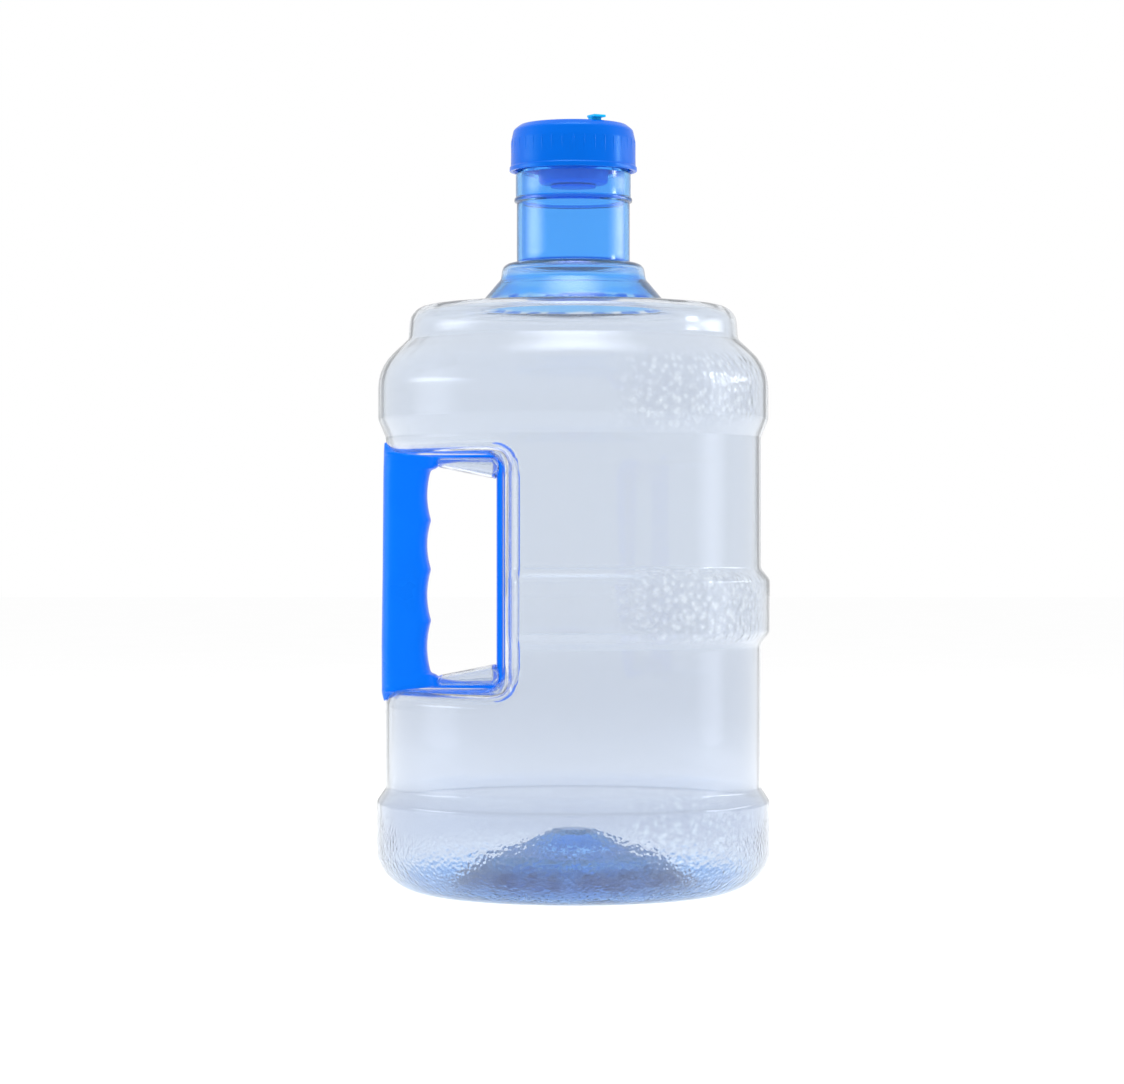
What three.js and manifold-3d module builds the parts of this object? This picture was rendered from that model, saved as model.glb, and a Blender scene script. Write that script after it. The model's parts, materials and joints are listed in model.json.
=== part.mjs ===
import * as THREE from "three";
import { mergeVertices } from "three/addons/utils/BufferGeometryUtils.js";
import Module from "manifold-3d";

// Large water jug: blown bottle with a handle set through one side, and a screw cap with a valve.
// Millimetres, +Z up, foot on z = 0, bottle axis on Z, handle towards -X.

const wasm = await Module();
wasm.setup();

// Driving dimensions: bottle
const BAND_R = 96;
const WALL_R = 91.6;
const WALL = 1.4;
const PUNT_TOP = 26;
const PUNT_WALL = 4.5;
const BOTTOM_BAND_TOP = 42;
const MID_BAND_LOW = 121;
const MID_BAND_TOP = 158;
const BULGE_LOW = 219;
const SHOULDER_Z = 288.3;
const NECK_R = 27.6;
const NECK_BORE_R = 25.1;
const NECK_LIP_Z = 369;
const AROUND = 40;

// Driving dimensions: handle and its notch
const NOTCH_MID_Z = 156.1;
const NOTCH_BACK_X = -34.2;
const DRAFT_X = 0.085;
const DRAFT_Z = 0.05;
const BOSS_WIDTH = 24;
const ANCHOR_BACK_X = -26.8;
const ANCHOR_WIDTH = 16;
const HANDLE_WIDTH = 25;
const GRIP_IN_X = -70;
const SCALLOP = 2;
const CUSPS = [206, 181, 157, 132, 106.2];
const POCKET_GAP = 0.35;

// Driving dimensions: thread, three starts
const STARTS = 3;
const LEAD = 12;
const THREAD_SPAN = (150 / 180) * Math.PI;
const NECK_ROOT_R = 26.8;
const NECK_CREST_R = 28.2;
const CAP_ROOT_R = 28.8;
const CAP_CREST_R = 27.3;
const NECK_THREAD_Z = 357;
const CAP_THREAD_Z = NECK_THREAD_Z - LEAD / STARTS / 2;

// Driving dimensions: cap, well, plug and lid
const CAP_RIM_Z = 351.4;
const CAP_R = 31.1;
const CROWN_Z = 374.3;
const PLATE_Z = 370.8;
const PLATE_TOP = 372.2;
const CAP_RIBS = 36;
const RIB_HEIGHT = 0.35;
const WELL_R = 17;
const WELL_BORE_R = 15.4;
const WELL_FLOOR_Z = 345;
const PLUG_HOLE_R = 9;
const LID_R = 22.9;
const HINGE_AZIMUTH = (120 / 180) * Math.PI;
const HINGE_RADIUS = 24;
const HINGE_Z = 373.9;
const BARREL_R = 1.3;
const AXLE_R = 0.8;
const AXLE_GAP = 0.05;

// A three.js geometry as a solid, without the collapsed triangles on an axis.
const solid = (geometry) => {
  const flat = geometry.index ? geometry.toNonIndexed() : geometry;
  const bare = new THREE.BufferGeometry();
  bare.setAttribute("position", flat.getAttribute("position"));
  const merged = mergeVertices(bare, 1e-4);
  const index = merged.index.array;
  const kept = [];
  for (let i = 0; i < index.length; i += 3) {
    const [a, b, c] = [index[i], index[i + 1], index[i + 2]];
    if (a !== b && b !== c && c !== a) kept.push(a, b, c);
  }
  const vertProperties = merged.attributes.position.array;
  const triVerts = new Uint32Array(kept);
  return new wasm.Manifold(new wasm.Mesh({ numProp: 3, vertProperties, triVerts }));
};

const joined = (first, ...others) => others.reduce((sum, next) => sum.add(next), first);

// A profile of [radius, z] turned round Z.
const turned = (profile, segments) => {
  const points = profile.map(([r, z]) => new THREE.Vector2(r, z));
  return new THREE.LatheGeometry(points, segments).rotateX(Math.PI / 2);
};

const path = (Kind, points) => new Kind(points.map(([a, b]) => new THREE.Vector2(a, b)));

// An outline of [x, z] carried along Y, centred on y = 0.
const slab = (outline, holes, width, steps) => {
  const shape = path(THREE.Shape, outline);
  shape.holes = holes.map((hole) => path(THREE.Path, hole));
  const made = new THREE.ExtrudeGeometry(shape, { depth: width, bevelEnabled: false, steps });
  return made.rotateX(Math.PI / 2).translate(0, width / 2, 0);
};

// An outline of [x, y] carried up Z.
const prism = (outline, low, high) => {
  const shape = path(THREE.Shape, outline);
  const made = new THREE.ExtrudeGeometry(shape, { depth: high - low, bevelEnabled: false });
  return made.translate(0, 0, low);
};

const block = (x, y, z) => {
  const made = new THREE.BoxGeometry(x[1] - x[0], y[1] - y[0], z[1] - z[0]);
  return made.translate((x[0] + x[1]) / 2, (y[0] + y[1]) / 2, (z[0] + z[1]) / 2);
};

const area = (points) =>
  points.reduce((sum, [x, y], i) => {
    const [u, v] = points[(i + 1) % points.length];
    return sum + (x * v - u * y) / 2;
  }, 0);

// An outline moved outwards by a distance, with mitred corners.
const grown = (points, distance) => {
  const side = Math.sign(area(points));
  const normal = ([x, y], [u, v]) => {
    const length = Math.hypot(u - x, v - y);
    return [(side * (v - y)) / length, (side * (x - u)) / length];
  };
  return points.map((point, i) => {
    const n = normal(points[(i + points.length - 1) % points.length], point);
    const m = normal(point, points[(i + 1) % points.length]);
    const scale = distance / (1 + n[0] * m[0] + n[1] * m[1]);
    return [point[0] + scale * (n[0] + m[0]), point[1] + scale * (n[1] + m[1])];
  });
};

const flipped = (points) => points.map(([x, z]) => [x, 2 * NOTCH_MID_Z - z]).reverse();

// ---- Bottle ----

const BODY_OUTSIDE = [
  [0, PUNT_TOP],
  [18, PUNT_TOP - 1],
  [34, 19],
  [46, 11],
  [54, 4.5],
  [59, 1.2],
  [64, 0],
  [70, 0],
  [77, 1.8],
  [84, 5.2],
  [90, 10],
  [94.2, 15.6],
  [BAND_R, 21],
  [BAND_R, BOTTOM_BAND_TOP],
  [94.8, 46],
  [WALL_R, 51],
  [WALL_R, MID_BAND_LOW],
  [94.6, MID_BAND_LOW + 2.6],
  [BAND_R, MID_BAND_LOW + 6.5],
  [BAND_R, MID_BAND_TOP - 6.5],
  [94.6, MID_BAND_TOP - 2.6],
  [WALL_R, MID_BAND_TOP],
  [WALL_R, BULGE_LOW],
  [93.6, 224.6],
  [95.2, 231],
  [95.2, 247],
  [93.7, 254.6],
  [90.4, 260.4],
  [84, 266],
  [81, 269],
  [80, 274],
  [76.5, 282],
  [70, 286.4],
  [63, SHOULDER_Z],
];

const NECK_OUTSIDE = [
  [43.4, SHOULDER_Z],
  [40.8, 291.8],
  [37.1, 295.7],
  [34.2, 299],
  [32.8, 303],
  [31, 305.8],
  [NECK_R, 307.6],
  [NECK_R, 335.6],
  [28.8, 336.4],
  [28.8, 338.2],
  [28.1, 339],
  [28.1, 350],
  [NECK_ROOT_R, 351.3],
  [NECK_ROOT_R, NECK_LIP_Z - 0.6],
  [NECK_ROOT_R - 0.6, NECK_LIP_Z],
  [0, NECK_LIP_Z],
];

const CAVITY = [
  [0, PUNT_TOP + PUNT_WALL],
  [18, PUNT_TOP + PUNT_WALL - 1.1],
  [35, 22.9],
  [47.5, 14],
  [56, 7],
  [63, 3.4],
  [70, 2.8],
  [76.5, 4],
  [83, 7],
  [88.6, 11.6],
  [92.4, 16.4],
  [BAND_R - WALL, 21.4],
  [BAND_R - WALL, BOTTOM_BAND_TOP - 0.4],
  [93.5, 45.2],
  [WALL_R - WALL, 50.4],
  [WALL_R - WALL, MID_BAND_LOW + 0.6],
  [93.3, MID_BAND_LOW + 3.4],
  [BAND_R - WALL, MID_BAND_LOW + 6.9],
  [BAND_R - WALL, MID_BAND_TOP - 6.9],
  [93.3, MID_BAND_TOP - 3.4],
  [WALL_R - WALL, MID_BAND_TOP - 0.6],
  [WALL_R - WALL, BULGE_LOW + 0.4],
  [92.2, 224.8],
  [93.8, 231.2],
  [93.8, 246.8],
  [92.3, 254],
  [89.2, 259.4],
  [83, 264.8],
  [79.7, 268.4],
  [78.6, 273.6],
  [75.2, 281],
  [69.2, 284.8],
  [62.6, 286.4],
  [42.4, 286.2],
  [38.6, 289.8],
  [34.6, 293.8],
  [31.6, 297.4],
  [29.8, 302],
  [27.4, 305],
  [NECK_BORE_R, 308.4],
  [NECK_BORE_R, NECK_LIP_Z + 11],
  [0, NECK_LIP_Z + 11],
];

const NOTCH_HALF = [
  [-112, 224],
  [-95, 223.4],
  [-91.6, 220.6],
  [-86.5, 216.2],
  [-80, 214.2],
  [-66, 213.4],
  [-42, 212.4],
  [-36.6, 211],
  [NOTCH_BACK_X, 206.4],
];

const BOSS = [
  [-65, 215],
  [-65.6, 207.2],
  [-34, 200.2],
  [ANCHOR_BACK_X, 200.2],
  [ANCHOR_BACK_X, 214.4],
  [-29.4, 217],
  [-34, 217.6],
  [-40, 216],
];

// The notch runs right through along Y and widens towards both sides of the bottle.
const drafted = (geometry) => {
  const at = geometry.getAttribute("position");
  for (let i = 0; i < at.count; i += 1) {
    const away = Math.abs(at.getY(i));
    if (at.getX(i) > -60) at.setX(i, at.getX(i) + DRAFT_X * away);
    at.setZ(i, at.getZ(i) + Math.sign(at.getZ(i) - NOTCH_MID_Z) * DRAFT_Z * away);
  }
  return geometry;
};

// One thread start: a ridge that fades into the wall at both ends.
const threadStart = (root, crest, z, turn) => {
  const deep = root + Math.sign(root - crest) * 0.6;
  const profile = [
    [deep, -0.8],
    [root, -0.8],
    [crest, -0.4],
    [crest, 0.4],
    [root, 0.8],
    [deep, 0.8],
    [deep, -0.8],
  ];
  if (crest < root) profile.reverse();
  const points = profile.map(([r, h]) => new THREE.Vector2(r, h));
  const segments = 16;
  const ridge = new THREE.LatheGeometry(points, segments, turn, THREAD_SPAN);
  const at = ridge.getAttribute("position");
  for (let i = 0; i <= segments; i += 1) {
    const fade = Math.min(1, i / 2, (segments - i) / 2);
    const angle = turn + (THREAD_SPAN * i) / segments;
    const rise = (LEAD * THREAD_SPAN * i) / segments / (2 * Math.PI);
    points.forEach((point, j) => {
      const r = deep + (point.x - deep) * fade;
      const h = z + rise + point.y * fade;
      at.setXYZ(i * points.length + j, r * Math.sin(angle), h, r * Math.cos(angle));
    });
  }
  return solid(ridge.rotateX(Math.PI / 2));
};

const threads = (root, crest, z) =>
  Array.from({ length: STARTS }, (_, k) => threadStart(root, crest, z, (2 * Math.PI * k) / STARTS));

// ---- Handle ----

const TIP_HALF = [
  [-92.5, 214],
  [-92.3, 218.4],
  [-91.4, 219.2],
  [-86.6, 215.3],
  [-80, 213.4],
  [-66, 212.6],
  [-44, 211.2],
  [-38.6, 211.8],
  [-36.4, 214],
  [-33, 215],
  [-30.2, 213.4],
  [-28.6, 209.4],
];

// The slot between the back leg and the anchor rib, which the bottle wall fills.
const SLOT_HALF = [
  [-31.4, 203],
  [-32.6, 205],
  [-34.6, 203.6],
];

const ARM_UNDER = [
  [-69, 207.6],
  [-66, 208.2],
  [-58, 208.4],
  [-42, 207.4],
  [-38.8, 206.4],
  [-37.4, 204.4],
];

const fingers = () => {
  const edge = [];
  for (let k = 0; k + 1 < CUSPS.length; k += 1) {
    for (let i = 0; i < 6; i += 1) {
      const t = i / 6;
      const z = CUSPS[k] + (CUSPS[k + 1] - CUSPS[k]) * t;
      edge.push([GRIP_IN_X - SCALLOP * Math.sin(Math.PI * t), z]);
    }
  }
  edge.push([GRIP_IN_X, CUSPS[CUSPS.length - 1]]);
  return edge;
};

const PLAN_HALF = [
  [-95, 5.6],
  [-93.2, 8.6],
  [-90.4, 11],
  [-86, HANDLE_WIDTH / 2],
  [-78, HANDLE_WIDTH / 2 - 0.2],
  [-73, 11],
  [-69.6, 9.2],
  [-66, 8.5],
  [-50, 8.2],
  [-33.6, 7.6],
  [-31.6, 4.2],
  [-27, 4.2],
];

const handleSolid = (gap) => {
  const outside = [...TIP_HALF, ...flipped(TIP_HALF), [-93.4, 120], [-93.1, 156]];
  const inside = [...fingers(), ...flipped(ARM_UNDER).reverse(), ...[...ARM_UNDER].reverse()];
  const slot = [...SLOT_HALF, ...flipped(SLOT_HALF)];
  const plan = [...PLAN_HALF, ...PLAN_HALF.map(([x, y]) => [x, -y]).reverse()];
  const holes = [inside, slot].map((hole) => grown(hole, -gap));
  const side = slab(grown(outside, gap), holes, HANDLE_WIDTH + 10, 1);
  return solid(side).intersect(solid(prism(grown(plan, gap), 80, 230)));
};

const notchOutline = [...NOTCH_HALF, ...flipped(NOTCH_HALF)];
const notch = solid(drafted(slab(notchOutline, [], 224, 2)));
const notchWalls = solid(drafted(slab(grown(notchOutline, WALL), [], 224, 2)));
const outside = solid(turned([...BODY_OUTSIDE, ...NECK_OUTSIDE], AROUND)).subtract(notch);
const cavity = solid(turned(CAVITY, AROUND)).subtract(notchWalls);
const bosses = [BOSS, flipped(BOSS)].map((outline) => solid(slab(outline, [], BOSS_WIDTH, 1)));
const anchorHalf = ANCHOR_WIDTH / 2;
const anchorWall = solid(
  block([NOTCH_BACK_X, ANCHOR_BACK_X], [-anchorHalf, anchorHalf], [104, 208]),
);
const bottleShell = joined(
  outside.subtract(cavity),
  ...bosses,
  anchorWall,
  ...threads(NECK_ROOT_R, NECK_CREST_R, NECK_THREAD_Z),
);
const bottle = bottleShell.subtract(handleSolid(POCKET_GAP));
const handle = handleSolid(0);

// ---- Cap ----

const CAP_SECTION = [
  [CAP_ROOT_R + 0.7, CAP_RIM_Z],
  [CAP_R - 0.3, CAP_RIM_Z],
  [CAP_R, CAP_RIM_Z + 0.4],
  [CAP_R, CAP_RIM_Z + 1.6],
  [30.7, CAP_RIM_Z + 2.4],
  [30.6, 354.4],
  [30.6, 355.4],
  [30.2, 366.4],
  [30.1, 367.4],
  [29.6, 369.4],
  [28.4, 371.7],
  [26.6, 373.4],
  [24.6, CROWN_Z],
  [23.4, CROWN_Z],
  [23.4, PLATE_TOP],
  [WELL_R + 0.4, PLATE_TOP],
  [WELL_R + 0.4, PLATE_Z],
  [27.8, PLATE_Z],
  [CAP_ROOT_R, PLATE_Z - 1],
  [CAP_ROOT_R, CAP_RIM_Z + 1],
  [CAP_ROOT_R + 0.7, CAP_RIM_Z],
];

const ribbed = (profile) => {
  const points = profile.map(([r, z]) => new THREE.Vector2(r, z));
  const made = new THREE.LatheGeometry(points, 2 * CAP_RIBS);
  const at = made.getAttribute("position");
  for (let i = 0; i < at.count; i += 1) {
    const column = Math.floor(i / points.length);
    const point = points[i % points.length];
    const onRib = point.x > 30.1 && point.y > 355 && point.y < 367;
    if (onRib && column % 2 === 0) {
      const scale = 1 + RIB_HEIGHT / point.x;
      at.setXYZ(i, at.getX(i) * scale, point.y, at.getZ(i) * scale);
    }
  }
  return made.rotateX(Math.PI / 2);
};

// The lid's own frame has +X pointing from the bottle axis to the hinge.
const atHinge = (geometry) => solid(geometry.rotateZ(HINGE_AZIMUTH));

const axle = (radius, length, segments) => {
  const made = new THREE.CylinderGeometry(radius, radius, length, segments);
  return made.translate(HINGE_RADIUS, 0, HINGE_Z);
};

const ears = [-1, 1].map((side) => {
  const y = [9.15 * side - 1.25, 9.15 * side + 1.25];
  return atHinge(block([22.3, 25.8], y, [371.6, 375.3]));
});
const capBody = solid(ribbed(CAP_SECTION)).subtract(
  atHinge(block([21, 36], [-7.9, 7.9], [PLATE_TOP, 380])),
);
const capShell = joined(
  capBody,
  ...ears,
  ...threads(CAP_ROOT_R, CAP_CREST_R, CAP_THREAD_Z),
).subtract(atHinge(axle(AXLE_R + AXLE_GAP, 22.4, 24)));

const gasket = turned(
  [
    [24.6, 369.3],
    [27.4, 369.3],
    [27.4, 370.4],
    [24.6, 370.4],
    [24.6, 369.3],
  ],
  AROUND,
);

const well = turned(
  [
    [PLUG_HOLE_R, WELL_FLOOR_Z],
    [WELL_R - 2, WELL_FLOOR_Z],
    [WELL_R, WELL_FLOOR_Z + 2],
    [WELL_R, 369.4],
    [21, 369.4],
    [21, 370.4],
    [WELL_R, 370.4],
    [WELL_R, PLATE_TOP],
    [WELL_BORE_R, PLATE_TOP],
    [WELL_BORE_R, WELL_FLOOR_Z + 2.6],
    [WELL_BORE_R - 1, WELL_FLOOR_Z + 1.6],
    [PLUG_HOLE_R, WELL_FLOOR_Z + 1.6],
    [PLUG_HOLE_R, WELL_FLOOR_Z],
  ],
  AROUND,
);

const plug = turned(
  [
    [0, WELL_FLOOR_Z - 1.9],
    [10.2, WELL_FLOOR_Z - 1.9],
    [11, WELL_FLOOR_Z - 1.3],
    [11, WELL_FLOOR_Z - 0.4],
    [PLUG_HOLE_R - 0.35, WELL_FLOOR_Z - 0.4],
    [PLUG_HOLE_R - 0.35, WELL_FLOOR_Z + 5],
    [7.2, WELL_FLOOR_Z + 5],
    [7, WELL_FLOOR_Z + 0.8],
    [0, WELL_FLOOR_Z + 0.8],
  ],
  32,
);

const lidDisc = turned(
  [
    [0, 372.5],
    [LID_R - 0.5, 372.5],
    [LID_R, 373],
    [LID_R, 373.8],
    [LID_R - 0.7, 374.2],
    [12, 374.5],
    [0, 374.6],
  ],
  AROUND,
);
const lidRing = turned(
  [
    [13.5, 370.6],
    [14.9, 370.6],
    [14.9, 372.8],
    [13.5, 372.8],
    [13.5, 370.6],
  ],
  AROUND,
);
const dustLid = joined(
  solid(lidDisc),
  solid(lidRing),
  atHinge(block([20, HINGE_RADIUS], [-7, 7], [373, 374.2])),
  atHinge(axle(BARREL_R, 15, 24)),
  atHinge(axle(AXLE_R, 20, 24)),
  atHinge(block([-22.5, -18.6], [-4, 4], [373.6, 376.4])),
  atHinge(block([-27.4, -18.6], [-4.4, 4.4], [375.7, 376.9])),
);

// ---- Assembly ----

const geometryOf = (body) => {
  if (body.isBufferGeometry) return body;
  const mesh = body.getMesh();
  const geometry = new THREE.BufferGeometry();
  geometry.setAttribute("position", new THREE.BufferAttribute(mesh.vertProperties, 3));
  geometry.setIndex(new THREE.BufferAttribute(mesh.triVerts, 1));
  const flat = geometry.toNonIndexed();
  flat.computeVertexNormals();
  return flat;
};

const PIECES = [
  ["bottle", bottle, { color: 0xc8dced, roughness: 0.12, metalness: 0 }],
  ["handle", handle, { color: 0x0f7af0, roughness: 0.3, metalness: 0 }],
  ["cap_shell", capShell, { color: 0x0a6ee8, roughness: 0.3, metalness: 0 }],
  ["cap_gasket", gasket, { color: 0xe6ecf0, roughness: 0.7, metalness: 0 }],
  ["valve_well", well, { color: 0x0a5cd6, roughness: 0.35, metalness: 0 }],
  ["valve_plug", plug, { color: 0x0a56c8, roughness: 0.4, metalness: 0 }],
  ["dust_lid", dustLid, { color: 0x1e9cec, roughness: 0.3, metalness: 0 }],
];

const jug = new THREE.Group();
jug.name = "large_water_jug";
for (const [name, body, look] of PIECES) {
  const mesh = new THREE.Mesh(geometryOf(body), new THREE.MeshStandardMaterial(look));
  mesh.name = name;
  jug.add(mesh);
}

export default jug;
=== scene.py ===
import json
import math

import bmesh
import bpy
import numpy as np
from bpy.props import FloatProperty, FloatVectorProperty, IntProperty, PointerProperty
from mathutils import Matrix, Vector


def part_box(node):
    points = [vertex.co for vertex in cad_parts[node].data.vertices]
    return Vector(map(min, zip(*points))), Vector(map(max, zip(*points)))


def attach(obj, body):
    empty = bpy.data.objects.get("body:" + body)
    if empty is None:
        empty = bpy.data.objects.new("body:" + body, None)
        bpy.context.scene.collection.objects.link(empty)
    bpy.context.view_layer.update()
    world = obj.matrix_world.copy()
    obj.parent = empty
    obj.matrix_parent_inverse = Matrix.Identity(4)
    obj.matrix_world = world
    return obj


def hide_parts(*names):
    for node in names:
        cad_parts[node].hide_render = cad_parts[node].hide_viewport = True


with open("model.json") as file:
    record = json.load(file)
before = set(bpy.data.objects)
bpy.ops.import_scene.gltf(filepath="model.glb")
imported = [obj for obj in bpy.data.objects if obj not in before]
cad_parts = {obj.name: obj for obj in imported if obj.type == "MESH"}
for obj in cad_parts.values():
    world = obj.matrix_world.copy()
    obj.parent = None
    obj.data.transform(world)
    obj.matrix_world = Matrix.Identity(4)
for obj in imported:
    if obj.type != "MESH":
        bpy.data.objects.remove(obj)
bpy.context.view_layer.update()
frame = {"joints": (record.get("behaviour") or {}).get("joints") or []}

bl_info = {
    "name": "Large Water Jug",
    "version": (1, 0, 0),
    "blender": (4, 5, 0),
    "location": "3D View > Sidebar > Water Jug",
    "description": "Makes the fine surfaces, the plastics and the stage of a large water jug",
    "category": "Add Mesh",
}

MM = 0.001
BOTTLE_LOW, BOTTLE_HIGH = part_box("bottle")
CAP_LOW, CAP_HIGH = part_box("cap_shell")

# The driving sizes of the bottle, in millimetres.
BAND_R = BOTTLE_HIGH.x / MM
WALL_R = BAND_R - 4.4
LIP_Z = BOTTLE_HIGH.z / MM
RIM_Z = CAP_LOW.z / MM
NOTCH_MID_Z = 156.1
NOTCH_LOW_Z = 98.8
NOTCH_HIGH_Z = 2 * NOTCH_MID_Z - NOTCH_LOW_Z
NOTCH_FOOT_Z = NOTCH_LOW_Z - 12
NOTCH_TOP_Z = 220.9
NOTCH_BACK = 34.2
NOTCH_DRAFT = 0.03
NOTCH_EDGE = 20
NOTCH_CORNER_X = 45
NOTCH_CORNER_WIDE = 20
NOTCH_CORNER_HIGH = 14
LEDGE_END_Z = 118.5
FOOT_R = 68.0
HEEL_Z = 21
SHOULDER_Z = 288.3
COLLAR_Z = 306.9
BEAD_Z = 337.3
NECK_BORE_R = 25.1
HINGE = next(j for j in frame["joints"] if j["name"] == "lid_hinge")
HINGE_AT = Vector(HINGE["pos_m"]) / MM
HINGE_TURN = math.atan2(HINGE_AT.y, HINGE_AT.x)
HINGE_RADIUS = math.hypot(HINGE_AT.x, HINGE_AT.y)


# ---- Mesh helpers, in millimetres ----


def rounded(corners, steps=6):
    """Points along (a, b, fillet) corners, with an arc of that radius at each one between the ends."""
    path = [np.array(corners[0][:2], float)]
    last = len(corners) - 2
    for k in range(1, len(corners) - 1):
        here = np.array(corners[k][:2], float)
        back = np.array(corners[k - 1][:2], float) - here
        onward = np.array(corners[k + 1][:2], float) - here
        lengths = [np.linalg.norm(back), np.linalg.norm(onward)]
        if min(lengths) < 1e-6 or corners[k][2] <= 0:
            path.append(here)
            continue
        back, onward = back / lengths[0], onward / lengths[1]
        angle = math.acos(float(np.clip(back @ onward, -1, 1)))
        if angle > math.pi - 1e-3:
            path.append(here)
            continue
        # An arc takes at most half of a side, or all of one that has no arc at its other end.
        shares = [0.98 if alone else 0.49 for alone in (k == 1, k == last)]
        room = min(length * share for length, share in zip(lengths, shares))
        reach = min(corners[k][2] / math.tan(angle / 2), room)
        radius = reach * math.tan(angle / 2)
        middle = back + onward
        centre = here + middle / np.linalg.norm(middle) * radius / math.sin(angle / 2)
        start, end = here + back * reach - centre, here + onward * reach - centre
        sweep = math.pi - angle
        for step in range(steps + 1):
            t = step / steps
            turned = math.sin((1 - t) * sweep) * start + math.sin(t * sweep) * end
            path.append(centre + turned / math.sin(sweep))
    path.append(np.array(corners[-1][:2], float))
    return path


def spaced(path, count):
    """The same path with its points an even distance apart."""
    path = np.asarray(path)
    steps = np.linalg.norm(np.diff(path, axis=0), axis=1)
    along = np.concatenate([[0], np.cumsum(steps)])
    wanted = np.linspace(0, along[-1], count)
    return [np.array([np.interp(at, along, path[:, k]) for k in (0, 1)]) for at in wanted]


def filled(path, longest):
    """The same path with its long stretches divided."""
    made = [path[0]]
    for start, end in zip(path, path[1:]):
        parts = max(1, math.ceil(float(np.linalg.norm(end - start)) / longest))
        made += [start + (end - start) * k / parts for k in range(1, parts + 1)]
    return made


def eased(value, low, high):
    """0 to 1, smoothly, as value goes from low to high."""
    t = min(1.0, max(0.0, (value - low) / (high - low)))
    return t * t * (3 - 2 * t)


def link(name, mesh, *materials):
    piece = bpy.data.objects.new(name, mesh)
    bpy.context.scene.collection.objects.link(piece)
    for material in materials:
        if material.name not in mesh.materials:
            mesh.materials.append(material)
    return piece


def shade(mesh, angle=40):
    mesh.polygons.foreach_set("use_smooth", [True] * len(mesh.polygons))
    mesh.set_sharp_from_angle(angle=math.radians(angle))
    mesh.update()


def skin(rings, around=False):
    """A mesh over a list of rings. A ring of one point is a pole; around joins the last to the first."""
    points, faces, starts = [], [], []
    for ring in rings:
        starts.append(len(points))
        points += [tuple(float(c) * MM for c in p) for p in ring]
    pairs = list(zip(range(len(rings)), range(1, len(rings))))
    if around:
        pairs.append((len(rings) - 1, 0))
    for low, high in pairs:
        m, n = len(rings[low]), len(rings[high])
        for k in range(max(m, n)):
            nxt = (k + 1) % max(m, n)
            a, d = starts[low] + k % m, starts[low] + nxt % m
            b, c = starts[high] + k % n, starts[high] + nxt % n
            if m == 1:
                faces.append((a, b, c))
            elif n == 1:
                faces.append((a, b, d))
            else:
                faces.append((a, b, c, d))
    mesh = bpy.data.meshes.new("skin")
    mesh.from_pydata(points, [], faces)
    return mesh


def revolve(profile, count, around=False):
    """A profile of (radius, z) points turned round Z: bottom axis, outside, top axis, or a closed loop."""
    turns = [2 * math.pi * k / count for k in range(count)]
    rings = []
    for r, z in profile:
        if r < 1e-6:
            rings.append([(0, 0, z)])
        else:
            rings.append([(r * math.cos(t), -r * math.sin(t), z) for t in turns])
    return skin(rings, around)


def oval(middle, half, power, count, place):
    """A ring shaped as a rounded rectangle; place puts its two coordinates in space."""
    ring = []
    for k in range(count):
        c, s = math.cos(2 * math.pi * k / count), math.sin(2 * math.pi * k / count)
        u = middle[0] + half[0] * math.copysign(abs(c) ** (2 / power), c)
        v = middle[1] + half[1] * math.copysign(abs(s) ** (2 / power), s)
        ring.append(place(u, v))
    return ring


def capped(rings):
    """Rings closed at both ends by a point in the middle."""
    ends = [[tuple(np.mean(np.array(ring), axis=0))] for ring in (rings[0], rings[-1])]
    return [ends[0], *rings, ends[1]]


def joined(name, meshes):
    """One mesh that holds several closed ones."""
    work = bmesh.new()
    for mesh in meshes:
        work.from_mesh(mesh)
    bmesh.ops.recalc_face_normals(work, faces=work.faces)
    made = bpy.data.meshes.new(name)
    work.to_mesh(made)
    work.free()
    return made


def settled(piece):
    """Applies a piece's modifiers and leaves a plain mesh."""
    graph = bpy.context.evaluated_depsgraph_get()
    mesh = bpy.data.meshes.new_from_object(piece.evaluated_get(graph), depsgraph=graph)
    mesh.name = piece.name
    piece.modifiers.clear()
    piece.data = mesh
    return piece


def moulded(name, meshes, voxel, passes, material):
    """Closed meshes grown into one skin with soft inner corners."""
    piece = link(name, joined(name, meshes), material)
    grow = piece.modifiers.new("one skin", "REMESH")
    grow.mode = "VOXEL"
    grow.voxel_size = voxel * MM
    grow.use_smooth_shade = True
    soften = piece.modifiers.new("soft corners", "SMOOTH")
    soften.factor = 0.5
    soften.iterations = passes
    settled(piece)
    piece.data.materials.clear()
    piece.data.materials.append(material)
    return piece


def fused(name, base, parts, material, operation="UNION"):
    """A mesh joined to, or cut by, others."""
    piece = link(name, base, material)
    for k, part in enumerate(parts):
        tool = link(f"{name}_tool_{k}", part)
        cut = piece.modifiers.new(tool.name, "BOOLEAN")
        cut.operation = operation
        cut.solver = "EXACT"
        cut.object = tool
        settled(piece)
        bpy.data.objects.remove(tool)
    piece.data.materials.clear()
    piece.data.materials.append(material)
    return piece


def bar(low, high, bevel, turn=0.0):
    """A box with rounded edges, given by two corners and then turned round Z."""
    work = bmesh.new()
    size = [b - a for a, b in zip(low, high)]
    middle = [(a + b) / 2 for a, b in zip(low, high)]
    place = Matrix.Translation(Vector(middle)) @ Matrix.Diagonal((*size, 1))
    bmesh.ops.create_cube(work, size=1, matrix=place)
    bmesh.ops.bevel(work, geom=work.edges[:], offset=bevel, segments=3, profile=0.6, affect="EDGES")
    work.transform(Matrix.Scale(MM, 4) @ Matrix.Rotation(turn, 4, "Z"))
    mesh = bpy.data.meshes.new("bar")
    work.to_mesh(mesh)
    work.free()
    return mesh


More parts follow.
